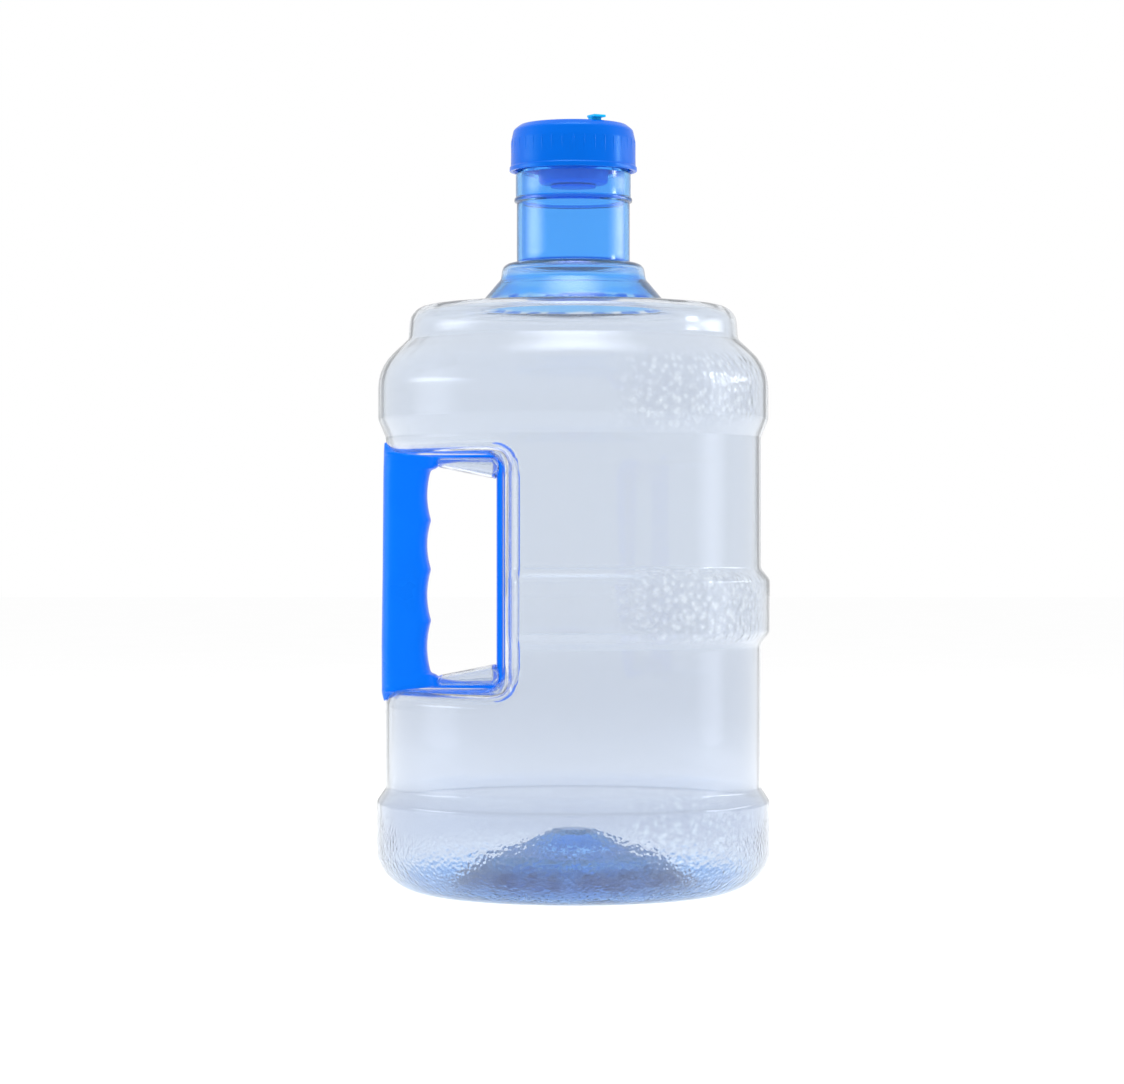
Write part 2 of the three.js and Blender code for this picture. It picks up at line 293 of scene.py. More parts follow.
def rod(radius, length, bevel=0.2):
    """A round bar along the lid's hinge axis."""
    half = length / 2
    profile = [(0, -half), (radius - bevel, -half), (radius, -half + bevel)]
    profile += [(radius, half - bevel), (radius - bevel, half), (0, half)]
    mesh = revolve(profile, 32)
    axis = Vector(HINGE["axis"]).to_track_quat("Z", "Y").to_matrix().to_4x4()
    mesh.transform(Matrix.Translation(HINGE_AT * MM) @ axis)
    return mesh


def dress(piece, body, node, angle=40):
    """Smooths a piece, hangs it on the body it rides on, and hides the node it stands for."""
    shade(piece.data, angle)
    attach(piece, body)
    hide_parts(node)
    return piece


# ---- Shader helpers and groups ----


def add(tree, kind, **values):
    made = tree.nodes.new(kind)
    for name, value in values.items():
        setattr(made, name, value)
    return made


def wire(tree, start, end):
    tree.links.new(start, end)


def maths(tree, operation, first, *others):
    """A value taken through a math node once for each of the others, or once if there are none."""
    made = first
    for other in others or (None,):
        node = add(tree, "ShaderNodeMath", operation=operation)
        for socket, value in zip(node.inputs, (made, other)):
            if isinstance(value, (int, float)):
                socket.default_value = value
            elif value is not None:
                wire(tree, value, socket)
        made = node.outputs[0]
    return made


def product(tree, first, *others):
    """Values multiplied together."""
    return maths(tree, "MULTIPLY", first, *others)


def window(tree, value, low, high):
    """0 to 1, smoothly, as value goes from low to high, which may lie in either order."""
    made = add(tree, "ShaderNodeMapRange", interpolation_type="SMOOTHSTEP")
    falling = low > high
    made.inputs["From Min"].default_value = min(low, high)
    made.inputs["From Max"].default_value = max(low, high)
    made.inputs["To Min"].default_value = 1.0 if falling else 0.0
    made.inputs["To Max"].default_value = 0.0 if falling else 1.0
    wire(tree, value, made.inputs["Value"])
    return made.outputs["Result"]


def span(tree, value, low, high):
    """A window over a length, with its limits in millimetres."""
    return window(tree, value, low * MM, high * MM)


def belt(tree, value, low, high, soft_low, soft_high):
    """1 between two heights in millimetres, falling to 0 over a soft distance inside each of them."""
    bottom = span(tree, value, low, low + soft_low)
    return product(tree, bottom, span(tree, value, high, high - soft_high))


def split(tree, vector):
    """The parts of a vector, as three sockets."""
    made = add(tree, "ShaderNodeSeparateXYZ")
    wire(tree, vector, made.inputs[0])
    return made.outputs


def blend(tree, first, second, factor):
    """A colour, plain or from a socket, mixed toward a plain one."""
    made = add(tree, "ShaderNodeMix", data_type="RGBA")
    if isinstance(first, bpy.types.NodeSocket):
        wire(tree, first, made.inputs["A"])
    else:
        made.inputs["A"].default_value = (*first, 1)
    made.inputs["B"].default_value = (*second, 1)
    wire(tree, factor, made.inputs["Factor"])
    return made.outputs["Result"]


def noise(tree, vector, scale, detail=2.0, roughness=0.5):
    made = add(tree, "ShaderNodeTexNoise")
    made.inputs["Scale"].default_value = scale
    made.inputs["Detail"].default_value = detail
    made.inputs["Roughness"].default_value = roughness
    wire(tree, vector, made.inputs["Vector"])
    return made.outputs["Fac"]


def group(name, inputs, outputs, kind="ShaderNodeTree"):
    """A node group with named sockets, and its input and output nodes."""
    tree = bpy.data.node_groups.new(name, kind)
    for side, sockets in (("INPUT", inputs), ("OUTPUT", outputs)):
        for label, carries, value in sockets:
            made = tree.interface.new_socket(label, in_out=side, socket_type=carries)
            if value is not None:
                made.default_value = value
    return tree, add(tree, "NodeGroupInput"), add(tree, "NodeGroupOutput")


def use(tree, nodes, vector, **values):
    """A shared group put to use in a material, with its inputs set."""
    made = add(tree, "ShaderNodeGroup", node_tree=nodes)
    wire(tree, vector, made.inputs["Vector"])
    for label, value in values.items():
        made.inputs[label.replace("_", " ")].default_value = value
    return made


FLOAT, VECTOR, COLOUR = "NodeSocketFloat", "NodeSocketVector", "NodeSocketColor"
GEOMETRY = ("Geometry", "NodeSocketGeometry", None)
# How far the edges of the thick parts wander, in millimetres, and the colour of the painted highlights on
# the pebbles and along the thin wall's silhouettes.
RAGGED = 4
PAINTED_HIGHLIGHT = (0.93, 0.97, 1)


def thick_parts_group():
    """Where the blown wall is thick, creased or dim, with shade and a highlight painted on.

    Depth is 1 in the unstretched neck, cone and foot, and halved on the collar as a painted highlight.
    Core is high in the middle of the base, and paints shade along the bead, crease and shoulder seam.
    Shade is painted shade: high in the brim round that middle, and a little above 0 in the lower wall.
    """
    outputs = [(label, FLOAT, None) for label in ("Depth", "Core", "Shade")]
    tree, start, end = group("thick_parts", [("Vector", VECTOR, None)], outputs)
    vector = start.outputs["Vector"]
    x, y, z = split(tree, vector)
    radius = maths(tree, "SQRT", maths(tree, "ADD", product(tree, x, x), product(tree, y, y)))
    ragged = product(tree, maths(tree, "SUBTRACT", noise(tree, vector, 90), 0.5), RAGGED * MM)
    height = maths(tree, "ADD", z, ragged)
    broken = window(tree, noise(tree, vector, 110, 1), 0.47, 0.56)

    above = span(tree, height, SHOULDER_Z - 0.5, SHOULDER_Z + 1.9)
    # Painted highlight: the collar's depth is halved, so its rounded band shows paler than the cone.
    collar = belt(tree, z, COLLAR_Z - 8.4, COLLAR_Z + 0.7, 3, 1.6)
    highlight_paling = maths(tree, "SUBTRACT", 1.0, product(tree, collar, 0.5))
    neck = product(tree, above, span(tree, radius, 47.5, 43.5), highlight_paling)
    under = span(tree, radius, FOOT_R - 2, FOOT_R - 10)
    punt = product(tree, span(tree, height, 36, 28), under)
    foot = product(tree, span(tree, height, 19, 3), span(tree, radius, BAND_R + 2, FOOT_R + 8))
    low = product(tree, span(tree, z, 58, 36), 0.04)
    wire(tree, maths(tree, "MAXIMUM", neck, foot, punt, low), end.inputs["Depth"])

    middle = maths(tree, "ADD", product(tree, span(tree, height, 12, 5), 0.5), 0.28)
    # Painted shade: the bead, the crease at the top of the collar and the broken seam round the shoulder
    # are drawn as dark lines in the core colour.
    bead = belt(tree, z, BEAD_Z - 1, BEAD_Z + 1, 0.5, 0.5)
    crease = belt(tree, z, COLLAR_Z - 1.3, COLLAR_Z + 1.5, 0.8, 1)
    seam = product(tree, belt(tree, z, SHOULDER_Z - 1.7, SHOULDER_Z + 1.1, 0.8, 0.8), broken)
    painted_crease_shade = product(tree, maths(tree, "MAXIMUM", bead, crease, seam), 0.95)
    deep = maths(tree, "MAXIMUM", product(tree, punt, middle), product(tree, foot, 0.4), painted_crease_shade)
    wire(tree, deep, end.inputs["Core"])

    # Painted shade: a patchy dark brim round the middle of the base, and a slight dimming of the lower
    # outer wall, most toward the heel.
    patchy = maths(tree, "ADD", product(tree, broken, 0.35), 0.6)
    painted_brim_shade = product(tree, span(tree, height, 15, 10.5), under, span(tree, radius, 26, 40), patchy)
    lower = product(tree, span(tree, z, 150, 85), 0.05)
    heel = product(tree, span(tree, z, 56, 40), 0.1)
    outer = product(tree, span(tree, z, 10, 26), span(tree, radius, FOOT_R - 2, FOOT_R + 10))
    wall = product(tree, maths(tree, "ADD", lower, heel), outer)
    wire(tree, maths(tree, "MAXIMUM", painted_brim_shade, wall), end.inputs["Shade"])
    return tree


def pebble_group():
    """The pebbled bands and base: a height, painted highlights on the pebble tops, painted shade in the
    gaps, and where they all are.
    """
    inputs = [("Vector", VECTOR, None), ("Size", FLOAT, 270.0)]
    outputs = [(label, FLOAT, None) for label in ("Height", "Light", "Painted gap shade", "Mask")]
    tree, start, end = group("pebbled_bands", inputs, outputs)
    x, y, z = split(tree, start.outputs["Vector"])
    side = product(tree, span(tree, x, 16, 42), span(tree, maths(tree, "ABSOLUTE", y), 22, 48))
    bulge = belt(tree, z, 226, 262, 7, 8)
    middle = belt(tree, z, 122, 157, 5, 5)
    low = product(tree, span(tree, z, 46, 38), 0.45)
    banded = product(tree, maths(tree, "ADD", bulge, middle, low), side)
    base = span(tree, z, 42, 26)
    cells = []
    for share in (1.0, 2.1):
        pattern = add(tree, "ShaderNodeTexVoronoi", feature="SMOOTH_F1")
        pattern.inputs["Smoothness"].default_value = 0.8
        wire(tree, product(tree, start.outputs["Size"], share), pattern.inputs["Scale"])
        wire(tree, start.outputs["Vector"], pattern.inputs["Vector"])
        cells.append(pattern.outputs["Distance"])
    pebbles, ripples = cells
    calm = maths(tree, "ADD", product(tree, span(tree, x, 93, 70), 0.4), 0.15)
    coarse = product(tree, pebbles, banded, calm)
    fine = product(tree, ripples, base, 0.22)
    wire(tree, maths(tree, "ADD", coarse, fine), end.inputs["Height"])
    # Painted highlights: pale spots on the pebble tops and glints on the base's ripples, given out as
    # Light.
    painted_highlights = product(tree, window(tree, pebbles, 0.42, 0.16), banded)
    painted_glints = product(tree, window(tree, ripples, 0.42, 0.16), base, 0.3)
    wire(tree, maths(tree, "MAXIMUM", painted_highlights, painted_glints), end.inputs["Light"])
    # Painted shade in the gaps between the pebbles.
    wire(tree, product(tree, window(tree, pebbles, 0.34, 0.54), banded, 0.06), end.inputs["Painted gap shade"])
    wire(tree, maths(tree, "MAXIMUM", banded, span(tree, z, 36, 12)), end.inputs["Mask"])
    return tree


def grain_group():
    """Fine moulded grain with slow changes of tone and gloss."""
    inputs = [("Vector", VECTOR, None), ("Roughness", FLOAT, 0.3), ("Colour", COLOUR, None)]
    outputs = [("Colour", COLOUR, None), ("Roughness", FLOAT, None), ("Height", FLOAT, None)]
    tree, start, end = group("moulded_grain", inputs, outputs)
    vector = start.outputs["Vector"]
    slow = noise(tree, vector, 35, 3)
    fine = noise(tree, vector, 2200, 2)
    tone = add(tree, "ShaderNodeHueSaturation")
    tone.inputs["Saturation"].default_value = 1.0
    wire(tree, maths(tree, "ADD", product(tree, slow, 0.16), 0.92), tone.inputs["Value"])
    wire(tree, start.outputs["Colour"], tone.inputs["Color"])
    wire(tree, tone.outputs["Color"], end.inputs["Colour"])
    gloss = product(tree, start.outputs["Roughness"], maths(tree, "ADD", slow, 0.5))
    wire(tree, gloss, end.inputs["Roughness"])
    wire(tree, maths(tree, "ADD", fine, product(tree, slow, 2.0)), end.inputs["Height"])
    return tree


def shared(name, maker):
    """A node group by name, made the first time that it is asked for."""
    return bpy.data.node_groups.get(name) or maker()


def blank(name):
    """A material that holds only a surface and its output."""
    material = bpy.data.materials.new(name)
    material.use_nodes = True
    tree = material.node_tree
    tree.nodes.clear()
    surface = add(tree, "ShaderNodeBsdfPrincipled")
    out = add(tree, "ShaderNodeOutputMaterial")
    wire(tree, surface.outputs[0], out.inputs["Surface"])
    vector = add(tree, "ShaderNodeTexCoord").outputs["Object"]
    return material, tree, surface, vector


def clear_plastic(settings):
    """Clear blown plastic: nearly colourless where it is thin, deep blue where it is thick."""
    material, tree, surface, vector = blank("clear_plastic")
    thick = use(tree, shared("thick_parts", thick_parts_group), vector)
    pebbles = use(tree, shared("pebbled_bands", pebble_group), vector, Size=settings.pebbles)
    depth = thick.outputs["Depth"]
    facing = add(tree, "ShaderNodeLayerWeight").outputs["Facing"]
    rim = product(tree, window(tree, facing, 0.35, 0.80), 0.6, depth)
    core = maths(tree, "MAXIMUM", thick.outputs["Core"], rim)
    # Painted shade: the brim, the lower wall and the gaps between pebbles, mixed toward the shade colour.
    painted_shade_mask = maths(tree, "ADD", thick.outputs["Shade"], pebbles.outputs["Painted gap shade"])
    # Painted highlights: the thin wall turns pale toward its silhouettes, and the pebble tops get pale
    # spots.
    painted_rim_highlight = product(tree, window(tree, facing, 0.55, 0.95), 0.8, maths(tree, "SUBTRACT", 1.0, depth))
    painted_highlights = product(tree, pebbles.outputs["Light"], 0.95)
    colour = blend(tree, settings.thin_colour, settings.deep_colour, depth)
    colour = blend(tree, colour, settings.core_colour, core)
    colour = blend(tree, colour, settings.painted_shade_colour, painted_shade_mask)
    colour = blend(tree, colour, PAINTED_HIGHLIGHT, maths(tree, "MAXIMUM", painted_highlights, painted_rim_highlight))
    wire(tree, colour, surface.inputs["Base Color"])
    drawn = add(tree, "ShaderNodeVectorMath", operation="MULTIPLY")
    drawn.inputs[1].default_value = (1, 1, 0.1)
    wire(tree, vector, drawn.inputs[0])
    flow = noise(tree, drawn.outputs[0], 45, 1)
    bump = add(tree, "ShaderNodeBump")
    bump.inputs["Strength"].default_value = 0.7
    bump.inputs["Distance"].default_value = 0.9 * MM
    height = maths(tree, "ADD", pebbles.outputs["Height"], product(tree, flow, 0.6))
    wire(tree, height, bump.inputs["Height"])
    wire(tree, bump.outputs["Normal"], surface.inputs["Normal"])
    gloss = maths(tree, "ADD", product(tree, pebbles.outputs["Mask"], 0.05), 0.03)
    wire(tree, gloss, surface.inputs["Roughness"])
    surface.inputs["Transmission Weight"].default_value = 0.96
    surface.inputs["IOR"].default_value = 1.5
    surface.inputs["Specular Tint"].default_value = (0.7, 0.8, 0.95, 1)
    through = add(tree, "ShaderNodeBsdfTransparent")
    through.inputs["Color"].default_value = (0.97, 0.985, 1, 1)
    mix = add(tree, "ShaderNodeMixShader")
    ray = add(tree, "ShaderNodeLightPath")
    lit = maths(tree, "MAXIMUM", ray.outputs["Is Shadow Ray"], ray.outputs["Is Diffuse Ray"])
    wire(tree, lit, mix.inputs["Fac"])
    wire(tree, surface.outputs[0], mix.inputs[1])
    wire(tree, through.outputs[0], mix.inputs[2])
    wire(tree, mix.outputs[0], tree.nodes["Material Output"].inputs["Surface"])
    return material


def moulded_plastic(name, colour, roughness, shine=0.4):
    """Solid coloured plastic with a fine grain."""
    material, tree, surface, vector = blank(name)
    nodes = shared("moulded_grain", grain_group)
    grain = use(tree, nodes, vector, Roughness=roughness, Colour=(*colour, 1))
    wire(tree, grain.outputs["Colour"], surface.inputs["Base Color"])
    wire(tree, grain.outputs["Roughness"], surface.inputs["Roughness"])
    bump = add(tree, "ShaderNodeBump")
    bump.inputs["Strength"].default_value = 0.35
    bump.inputs["Distance"].default_value = 0.03 * MM
    wire(tree, grain.outputs["Height"], bump.inputs["Height"])
    wire(tree, bump.outputs["Normal"], surface.inputs["Normal"])
    surface.inputs["IOR"].default_value = 1.5
    surface.inputs["Specular IOR Level"].default_value = shine
    surface.inputs["Specular Tint"].default_value = (0.12, 0.65, 1, 1)
    return material


# ---- Geometry Nodes for the ribs and threads ----


def moved(tree, shape, **places):
    """A shape moved along its axes by values from sockets."""
    place = add(tree, "ShaderNodeCombineXYZ")
    for axis, value in places.items():
        wire(tree, value, place.inputs[axis])
    shift = add(tree, "GeometryNodeTransform")
    wire(tree, shape, shift.inputs["Geometry"])
    wire(tree, place.outputs[0], shift.inputs["Translation"])
    return shift.outputs[0]


def copies_round_axis(tree, shape, count, material, end):
    """Places copies of a shape at even turns round Z, made real and given their material."""
    points = add(tree, "GeometryNodePoints")
    wire(tree, count, points.inputs["Count"])
    step = maths(tree, "DIVIDE", 2 * math.pi, count)
    index = add(tree, "GeometryNodeInputIndex").outputs[0]
    turn = add(tree, "ShaderNodeCombineXYZ")
    wire(tree, product(tree, index, step), turn.inputs["Z"])
    place = add(tree, "GeometryNodeInstanceOnPoints")
    wire(tree, points.outputs[0], place.inputs["Points"])
    wire(tree, shape, place.inputs["Instance"])
    wire(tree, turn.outputs[0], place.inputs["Rotation"])
    real = add(tree, "GeometryNodeRealizeInstances")
    wire(tree, place.outputs[0], real.inputs[0])
    finish = add(tree, "GeometryNodeSetMaterial")
    wire(tree, real.outputs[0], finish.inputs["Geometry"])
    finish.inputs["Material"].default_value = material
    wire(tree, finish.outputs[0], end.inputs["Geometry"])


def rib_tree(material):
    """Grip ribs round the cap: one softened bar, copied."""
    inputs = [GEOMETRY, ("Count", "NodeSocketInt", 36), ("Radius", FLOAT, 0.03)]
    inputs += [("Middle", FLOAT, 0.36), ("Size", VECTOR, (0.001, 0.0015, 0.012))]
    tree, start, end = group("grip_ribs", inputs, [GEOMETRY], "GeometryNodeTree")
    cube = add(tree, "GeometryNodeMeshCube")
    wire(tree, start.outputs["Size"], cube.inputs["Size"])
    cube.inputs["Vertices Z"].default_value = 5
    soft = add(tree, "GeometryNodeSubdivisionSurface")
    wire(tree, cube.outputs["Mesh"], soft.inputs["Mesh"])
    soft.inputs["Level"].default_value = 2
    rib = moved(tree, soft.outputs[0], X=start.outputs["Radius"], Z=start.outputs["Middle"])
    copies_round_axis(tree, rib, start.outputs["Count"], material, end)
    return tree


def thread_tree(material):
    """A screw thread: one start swept along a spiral, copied."""
    inputs = [GEOMETRY, ("Starts", "NodeSocketInt", 3), ("Radius", FLOAT, 0.0268), ("Low", FLOAT, 0.357)]
    inputs += [("Rise", FLOAT, 0.005), ("Turns", FLOAT, 0.4167), ("Thickness", FLOAT, 0.0008)]
    tree, start, end = group("screw_thread", inputs, [GEOMETRY], "GeometryNodeTree")
    spiral = add(tree, "GeometryNodeCurveSpiral")
    spiral.inputs["Resolution"].default_value = 96
    wire(tree, start.outputs["Turns"], spiral.inputs["Rotations"])
    wire(tree, start.outputs["Radius"], spiral.inputs["Start Radius"])
    wire(tree, start.outputs["Radius"], spiral.inputs["End Radius"])
    wire(tree, start.outputs["Rise"], spiral.inputs["Height"])
    section = add(tree, "GeometryNodeCurvePrimitiveCircle")
    section.inputs["Resolution"].default_value = 10
    wire(tree, start.outputs["Thickness"], section.inputs["Radius"])
    sweep = add(tree, "GeometryNodeCurveToMesh")
    wire(tree, spiral.outputs[0], sweep.inputs["Curve"])
    wire(tree, section.outputs[0], sweep.inputs["Profile Curve"])
    sweep.inputs["Fill Caps"].default_value = True
    thread = moved(tree, sweep.outputs[0], Z=start.outputs["Low"])
    copies_round_axis(tree, thread, start.outputs["Starts"], material, end)
    return tree


def grown_by_nodes(name, tree, values, material):
    """A plain mesh made by a node tree, with its named inputs set."""
    piece = link(name, bpy.data.meshes.new(name))
    modifier = piece.modifiers.new(name, "NODES")
    modifier.node_group = tree
    sockets = {s.name: s.identifier for s in tree.interface.items_tree if s.in_out == "INPUT"}
    for label, value in values.items():
        modifier[sockets[label]] = value
    settled(piece)
    piece.data.materials.clear()
    piece.data.materials.append(material)
    return piece


# ---- Settings ----


def colour_setting(name, description, default):
    return FloatVectorProperty(name=name, description=description, subtype="COLOR", default=default)


def length_setting(name, description, millimetres):
    return FloatProperty(name=name, description=description, default=millimetres * MM, unit="LENGTH")


class BottleSettings(bpy.types.PropertyGroup):
    thin_colour: colour_setting("Thin wall", "Colour of the thin wall", (0.78, 0.82, 0.88))
    deep_colour: colour_setting("Thick parts", "Colour of the neck and the base", (0.235, 0.585, 0.97))
    # The core colour also paints shade along the bead, crease and shoulder seam.
    core_colour: colour_setting("Core", "Colour of the pushed-up base and of creases", (0.01, 0.20, 0.76))
    # The colour of all painted shade: the brim of the base, the lower wall and the gaps between pebbles.
    painted_shade_colour: colour_setting("Brim", "Colour of the dark brim in the base", (0.005, 0.03, 0.19))
    wall: length_setting("Wall", "Wall thickness", 1.35)
    pebbles: FloatProperty(name="Pebbles", description="Pebbles per metre on the bands", default=270)
    rim_fillet: length_setting("Notch rim", "Rounding where the notch meets the wall", 7)


class HandleSettings(bpy.types.PropertyGroup):
    colour: colour_setting("Colour", "Colour of the handle", (0.0, 0.152, 0.85))
    width: length_setting("Width", "Width of the grip", 25)
    scallop: length_setting("Scallop", "Depth of a finger scallop", 2)


class CapSettings(bpy.types.PropertyGroup):
    colour: colour_setting("Cap colour", "Colour of the screw cap", (0.0, 0.12, 0.66))
    # The lid's paler cyan is painted light: the cap's blue as it looks lit from the right.
    lid_colour: colour_setting("Lid colour", "Colour of the dust lid", (0.01, 0.48, 0.88))
    well_colour: colour_setting("Well colour", "Colour of the valve", (0.0, 0.11, 0.68))
    ribs: IntProperty(name="Ribs", description="Grip ribs round the cap", default=36, min=3)
    rib_width: length_setting("Rib width", "Width of a rib", 1.1)


class StageSettings(bpy.types.PropertyGroup):
    floor_colour: colour_setting("Floor", "Colour of the floor", (0.985, 0.985, 0.985))
    light: FloatProperty(name="Light", description="Brightness of the lamps", default=2.1)


# ---- Bottle ----


def wall_radius(z):
    """The plain wall with its middle band."""
    rise = eased(z, 119.5, 127.8)
    fall = 1 - eased(z, 151.2, 158.8)
    return WALL_R + (BAND_R - WALL_R) * rise * fall


def flipped(z):
    """The height as far beyond the middle of the notch."""
    return 2 * NOTCH_MID_Z - z


def soft_least(a, b, width):
    """The smaller of two values, blended where they differ by less than width."""
    share = min(1.0, max(0.0, 0.5 + 0.5 * (b - a) / width))
    return b + (a - b) * share - width * share * (1 - share)


def notch_radius(turn):
    """How far the back of the notch is from the axis, along a ray that far round from the handle."""
    return NOTCH_BACK / max(0.2, math.cos(turn) + NOTCH_DRAFT * abs(math.sin(turn)))


def lower_outside():
    """The pushed-up base, the heel and the lowest band, as (radius, z) points."""
    corners = [(0, 26.6, 0), (9, 26.2, 8), (24, 18.4, 14), (40, 14, 20), (57, 2, 9), (63, 0.2, 6)]
    punt = rounded([*corners, (FOOT_R - 2, 0, 0)], 5)
    quarter = [math.pi / 2 * k / 12 for k in range(13)]
    wide = BAND_R - FOOT_R
    heel = [(FOOT_R + wide * math.sin(t), HEEL_Z - HEEL_Z * math.cos(t)) for t in quarter]
    corners = [(BAND_R, HEEL_Z, 0), (BAND_R, 44.5, 4.5), (WALL_R, 51, 4.5), (WALL_R, NOTCH_FOOT_Z, 0)]
    band = rounded(corners, 5)
    path = [np.array(p, float) for p in [*punt, *heel]] + band[1:]
    return filled(path, 6)


def upper_outside():
    """The top band, shoulder, cone and neck, as (radius, z) points."""
    corners = [
        (WALL_R, NOTCH_TOP_Z, 0),
        (WALL_R, 221.6, 1.5),
        (BAND_R - 0.8, 230, 7),
        (BAND_R - 0.8, 255.4, 28),
        (80.4, 269.4, 3.5),
        (79.4, 284.6, 13),
        (62, 286.4, 10),
        (45, SHOULDER_Z - 0.9, 1.2),
        (37.4, 296.4, 8),
        (35.4, 298.6, 4),
        (34.4, COLLAR_Z - 0.9, 4.4),
        (27.6, COLLAR_Z, 0.35),
        (27.6, 335.8, 0.3),
        (28.8, 336.6, 0.5),
        (28.8, 338, 0.5),
        (28.1, 338.8, 0.3),
        (28.1, 350.2, 0.5),
        (26.8, 351.4, 0.5),
        (26.8, LIP_Z - 0.9, 0),
    ]
    return filled(rounded(corners, 5), 5)


def notch_path(turn, fillet):
    """The stretch of the outside that may turn in through the notch, from below it to above it."""
    back = notch_radius(turn)
    inner = soft_least(back, WALL_R, NOTCH_EDGE)
    past = min(0.92, max(0.0, (NOTCH_CORNER_X - WALL_R * math.cos(turn)) / NOTCH_CORNER_WIDE))
    drawn_in = NOTCH_CORNER_HIGH * (1 - math.sqrt(1 - past**2))
    lean = 5.5 * (1 - eased(WALL_R - inner, 0, 18))
    low, high = NOTCH_LOW_Z + drawn_in, NOTCH_HIGH_Z - drawn_in
    end, start = LEDGE_END_Z, flipped(LEDGE_END_Z)
    floor = [(WALL_R, NOTCH_FOOT_Z, 0), (WALL_R, low - lean, fillet)]
    floor += [(inner, low + lean, 9.5), (inner, end, 0)]
    ceiling = [(inner, start, 0), (inner, high - lean, 9.5)]
    ceiling += [(WALL_R, high + lean, fillet), (WALL_R, NOTCH_TOP_Z, 0)]
    heights = [*np.linspace(end, 128.5, 11)[1:], *np.linspace(128.5, 150, 8)[1:]]
    heights += [*np.linspace(150, 160, 10)[1:], *np.linspace(160, start, 12)[1:-1]]
    middle = [np.array([soft_least(back, wall_radius(z), NOTCH_EDGE), z]) for z in heights]
    return spaced(rounded(floor, 8), 30) + middle + spaced(rounded(ceiling, 8), 30)


def bottle_turns():
    """Angles from the handle side, closer together at the edges of the notch."""
    half = list(np.linspace(0, 52, 14, endpoint=False))
    half += list(np.linspace(52, 80, 30, endpoint=False))
    half += list(np.linspace(80, 180, 38, endpoint=False))
    whole = half + [360 - a for a in reversed(half[1:])]
    whole.insert(len(half), 180.0)
    return [math.radians(a) for a in whole]


def wall_thickness(r, z, wall):
    """Thicker toward the middle of the base and up the shoulder."""
    base = 3.2 * (1 - eased(r, 30, 88)) * (1 - eased(z, 24, 40))
    shoulder = 0.5 * eased(z, 262, 286) + 0.7 * eased(z, 286, 300)
    return wall + base + shoulder


def bottle_rings(settings):
    """Rings up the outside of the bottle, over the lip and down its inside."""
    lower, upper = lower_outside(), upper_outside()
    turns = bottle_turns()
    fillet, wall = settings.rim_fillet / MM, settings.wall / MM
    columns = [lower + notch_path(t, fillet)[1:] + upper[1:] for t in turns]
    flat = np.array(columns)
    cosine, sine = np.cos(turns)[:, None], np.sin(turns)[:, None]
    outside = np.stack([-flat[:, :, 0] * cosine, flat[:, :, 0] * sine, flat[:, :, 1]], axis=2)
    along = np.gradient(outside, axis=1)
    across = np.roll(outside, -1, axis=0) - np.roll(outside, 1, axis=0)
    normal = np.cross(along, across)
    normal /= np.maximum(np.linalg.norm(normal, axis=2, keepdims=True), 1e-9)
    normal[:, 0] = (0, 0, -1)
    far = flat[len(turns) // 2]
    depth = np.array([wall_thickness(r, z, wall) for r, z in far])
    inside = outside - normal * depth[None, :, None]
    neck = far[:, 1] > COLLAR_Z + 1.6
    inside[:, neck, 0] = -NECK_BORE_R * cosine
    inside[:, neck, 1] = NECK_BORE_R * sine
    inside[:, neck, 2] = outside[:, neck, 2]
    lip = [(26.6, LIP_Z - 0.25), (25.95, LIP_Z), (25.3, LIP_Z - 0.25)]
    rings = [outside[:1, 0]] + [outside[:, k] for k in range(1, flat.shape[1])]
    rings += [[(-r * math.cos(t), r * math.sin(t), z) for t in turns] for r, z in lip]
    rings += [inside[:, k] for k in range(flat.shape[1] - 1, 0, -1)] + [inside[:1, 0]]
    return rings


def hollow(rings, inner):
    """A closed shell with a hollow inside, from the rings of its outside and of its hollow."""
    work = bmesh.new()
    work.from_mesh(skin(capped(rings)))
    bmesh.ops.recalc_face_normals(work, faces=work.faces)
    outer = set(work.faces)
    work.from_mesh(skin(capped(inner)))
    inside = [face for face in work.faces if face not in outer]
    bmesh.ops.recalc_face_normals(work, faces=inside)
    bmesh.ops.reverse_faces(work, faces=inside)
    mesh = bpy.data.meshes.new("hollow")
    work.to_mesh(mesh)
    work.free()
    return mesh


def socket_rings(flip, inset):
    """The wedge of clear plastic under an arm of the handle, drawn in by the inset."""
    rings = []
    for x in np.linspace(-67 + inset, -36.2 - inset, 36):
        low = 207.1 - 6 * (x + 67) / 30 + inset
        high = 212.2 - inset
        half = 9.6 + 1.6 * eased(x, -66, -46) - inset
        shut = min(1, math.sqrt(min(x + 67.6 - inset, -35.6 - inset - x) / 2.4))
        size = (high - low) / 2 * shut, half * (0.75 + 0.25 * shut)
        place = lambda z, y, x=x: (x, y, flipped(z) if flip else z)
        rings.append(oval(((low + high) / 2, 0), size, 3.2, 40, place))
    return rings


class JUG_OT_bottle(bpy.types.Operator):
    """Makes the blown bottle with its notch, bands, pushed-up base and threaded neck"""

    bl_idname = "jug.bottle"
    bl_label = "Bottle"

    def execute(self, context):
        settings = context.scene.jug_bottle
        clear = clear_plastic(settings)
        bottle = link("bottle_shell", skin(bottle_rings(settings)), clear)
        dress(bottle, "bottle_body", "bottle", 75)
        for name, flip in (("upper_arm_socket", False), ("lower_arm_socket", True)):
            socket = link(name, hollow(socket_rings(flip, 0), socket_rings(flip, 0.9)), clear)
            dress(socket, "bottle_body", "bottle", 75)
        values = {"Radius": 0.0272, "Low": 0.357}
        thread = grown_by_nodes("neck_thread", thread_tree(clear), values, clear)
        dress(thread, "bottle_body", "bottle")
        return {"FINISHED"}


# ---- Handle ----


def along_curve(points):
    """A function that reads the second value off a line through the points."""
    first, second = zip(*points)
    return lambda at: float(np.interp(at, first, second))


